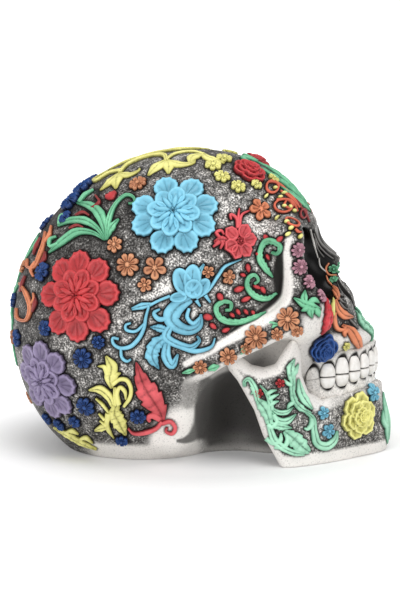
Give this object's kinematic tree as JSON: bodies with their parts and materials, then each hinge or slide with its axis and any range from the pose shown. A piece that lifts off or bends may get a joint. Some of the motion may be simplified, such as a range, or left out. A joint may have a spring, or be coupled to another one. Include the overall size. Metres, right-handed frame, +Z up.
{
  "type": "sugar skull",
  "caption": "Cast skull ornament with a bonded lower jaw, rows of teeth and moulded flowers, leaves and scrolls painted in bright colours over an antiqued grey ground.",
  "frame": {"origin": "on the flat underside of the cranium, in the plane of symmetry, below the ear line", "axes": "+X the way the skull faces, +Y to its left, +Z up"},
  "size_m": [0.153, 0.104, 0.1214],
  "materials": {
    "antiqued_ground": "pitted grey-brown wash with white dry-brushing",
    "pale_bone": "white paint, dark wash in the recesses",
    "enamel": "satin white paint, dark wash between the teeth",
    "sky_paint": "satin paint",
    "scarlet_paint": "satin paint",
    "lilac_paint": "satin paint",
    "lemon_paint": "satin paint",
    "emerald_paint": "satin paint",
    "mint_paint": "satin paint",
    "navy_paint": "satin paint",
    "orange_paint": "satin paint",
    "amber_paint": "satin paint",
    "mauve_paint": "satin paint"
  },
  "bodies": {
    "root": {"cranium": "antiqued_ground", "lower_jaw": "pale_bone", "upper_teeth": "enamel", "lower_teeth": "enamel", "crown_scroll": "lemon_paint", "forehead_crest": "emerald_paint", "chin_leaf": "mint_paint", "right_blue_peony": "sky_paint", "left_blue_peony": "sky_paint", "right_red_peony": "scarlet_paint", "left_red_peony": "scarlet_paint", "right_lilac_peony": "lilac_paint", "left_lilac_peony": "lilac_paint", "right_blue_scroll": "sky_paint", "left_blue_scroll": "sky_paint", "right_yellow_scroll": "lemon_paint", "left_yellow_scroll": "lemon_paint", "right_red_leaf": "scarlet_paint", "left_red_leaf": "scarlet_paint", "right_red_hibiscus": "scarlet_paint", "left_red_hibiscus": "scarlet_paint", "right_green_fan": "emerald_paint", "left_green_fan": "emerald_paint", "right_navy_rose": "navy_paint", "left_navy_rose": "navy_paint", "right_yellow_rose": "lemon_paint", "left_yellow_rose": "lemon_paint", "right_jaw_scroll": "mint_paint", "left_jaw_scroll": "mint_paint", "right_jaw_curl": "mint_paint", "left_jaw_curl": "mint_paint", "right_cheek_garland": "amber_paint", "left_cheek_garland": "amber_paint", "right_eye_garland": "mauve_paint", "left_eye_garland": "mauve_paint", "right_temple_hook": "emerald_paint", "left_temple_hook": "emerald_paint", "right_temple_curl": "emerald_paint", "left_temple_curl": "emerald_paint", "right_temple_scroll": "emerald_paint", "left_temple_scroll": "emerald_paint", "right_orange_star": "orange_paint", "left_orange_star": "orange_paint", "right_orange_bloom": "amber_paint", "left_orange_bloom": "amber_paint", "right_nose_scroll": "orange_paint", "left_nose_scroll": "orange_paint", "right_crown_rose": "scarlet_paint", "left_crown_rose": "scarlet_paint", "right_navy_bloom": "navy_paint", "left_navy_bloom": "navy_paint", "right_cheek_leaf": "emerald_paint", "left_cheek_leaf": "emerald_paint"}
  },
  "joints": []
}
